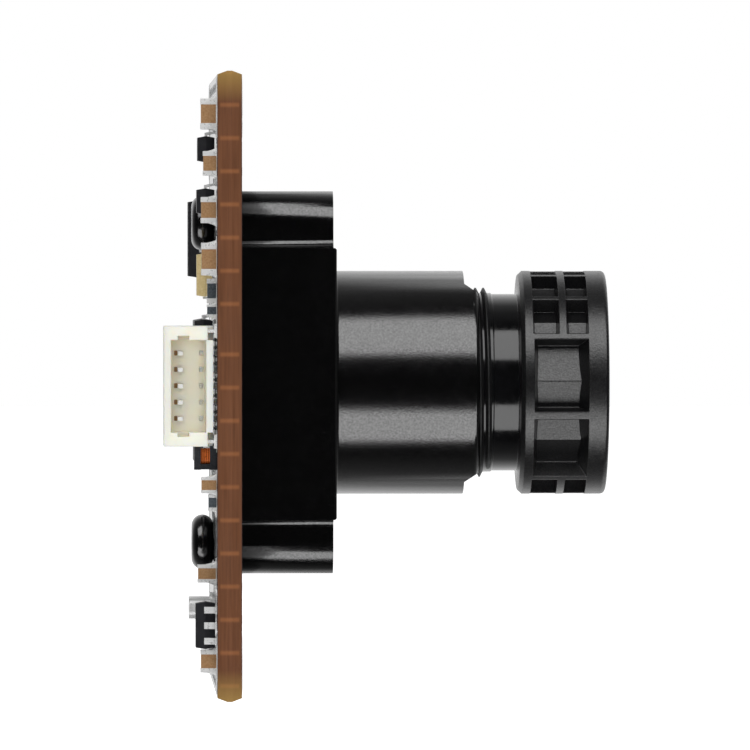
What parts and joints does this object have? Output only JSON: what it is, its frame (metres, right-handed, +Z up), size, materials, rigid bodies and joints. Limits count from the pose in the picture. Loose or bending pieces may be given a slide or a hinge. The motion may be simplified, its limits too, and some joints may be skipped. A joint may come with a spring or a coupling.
{
  "type": "board camera module",
  "caption": "Square circuit board with an image sensor under a screwed-on holder, a lens that focuses by turning in it, and a side-entry cable socket on the back.",
  "frame": {"origin": "centre of the board's front face on the optical axis, which is the centre of the four corner holes", "axes": "+X along the optical axis out of the lens, +Z up, and -Y the way the cable socket opens"},
  "size_m": [0.0279, 0.0384, 0.0384],
  "materials": {
    "board_laminate": "glass epoxy laminate, brown at its snapped edges, under a glossy near-black solder mask",
    "package_ceramic": "pale ceramic",
    "silicon": "polished silicon with a faint green and violet sheen",
    "cover_glass": "clear cover glass",
    "holder_plastic": "black moulded plastic with a fine grain, semi-gloss",
    "screw_black": "black zinc plate, glossy",
    "lens_plastic": "black moulded plastic, glossy on the neck and grained on the grip ring",
    "lens_black": "matt black, light absorbing",
    "optical_glass": "clear glass with a blue-violet anti-reflection coating",
    "filter_glass": "infrared cut glass, faint cyan",
    "socket_nylon": "natural cream nylon, slightly translucent",
    "contact_plate": "tin over brass",
    "tin_plate": "bright tin and solder",
    "chip_black": "black epoxy moulding compound",
    "can_steel": "bright drawn steel can",
    "ferrite": "dark grey ferrite",
    "copper_wire": "enamelled copper wire, orange",
    "tantalum_case": "cream-yellow moulded case",
    "capacitor_ceramic": "tan ceramic",
    "resistor_ceramic": "grey-black glaze over ceramic"
  },
  "bodies": {
    "board": {"circuit_board": "board_laminate", "sensor_package": "package_ceramic", "sensor_die": "silicon", "sensor_glass": "cover_glass", "lens_holder": "holder_plastic", "holder_screw_top": "screw_black", "holder_screw_bottom": "screw_black", "socket_housing": "socket_nylon", "socket_contacts": "contact_plate", "socket_tabs": "tin_plate", "processor": "chip_black", "processor_leads": "tin_plate", "memory_chip": "chip_black", "memory_leads": "tin_plate", "regulator_1": "chip_black", "regulator_2": "chip_black", "regulator_3": "chip_black", "regulator_leads": "tin_plate", "crystal_can": "can_steel", "inductor_core": "ferrite", "inductor_winding": "copper_wire", "tantalum": "tantalum_case", "tantalum_tabs": "tin_plate", "capacitor_1": "capacitor_ceramic", "capacitor_2": "capacitor_ceramic", "capacitor_3": "capacitor_ceramic", "capacitor_4": "capacitor_ceramic", "capacitor_5": "capacitor_ceramic", "capacitor_6": "capacitor_ceramic", "capacitor_7": "capacitor_ceramic", "capacitor_ends": "tin_plate", "resistor_1": "resistor_ceramic", "resistor_2": "resistor_ceramic", "resistor_3": "resistor_ceramic", "resistor_ends": "tin_plate"},
    "focus_carriage": {"aperture_stop": "lens_black"},
    "lens": {"lens_barrel": "lens_plastic", "front_retainer": "lens_black", "front_element": "optical_glass", "spacer_ring": "lens_black", "second_element": "optical_glass", "rear_element": "optical_glass", "rear_retainer": "lens_black", "infrared_filter": "filter_glass"}
  },
  "joints": [
    {"name": "focus_travel", "type": "slide", "parent": "board", "child": "focus_carriage", "axis": [1, 0, 0], "range_m": [-0.00225, 0.0025]},
    {"name": "focus_turn", "type": "hinge", "parent": "focus_carriage", "child": "lens", "pos_m": [0.015, 0, 0], "axis": [1, 0, 0], "range_deg": [-1625, 1805]}
  ],
  "couplings": [
    {"joint": "focus_turn", "follows": "focus_travel", "rad_per_m": 12566}
  ]
}
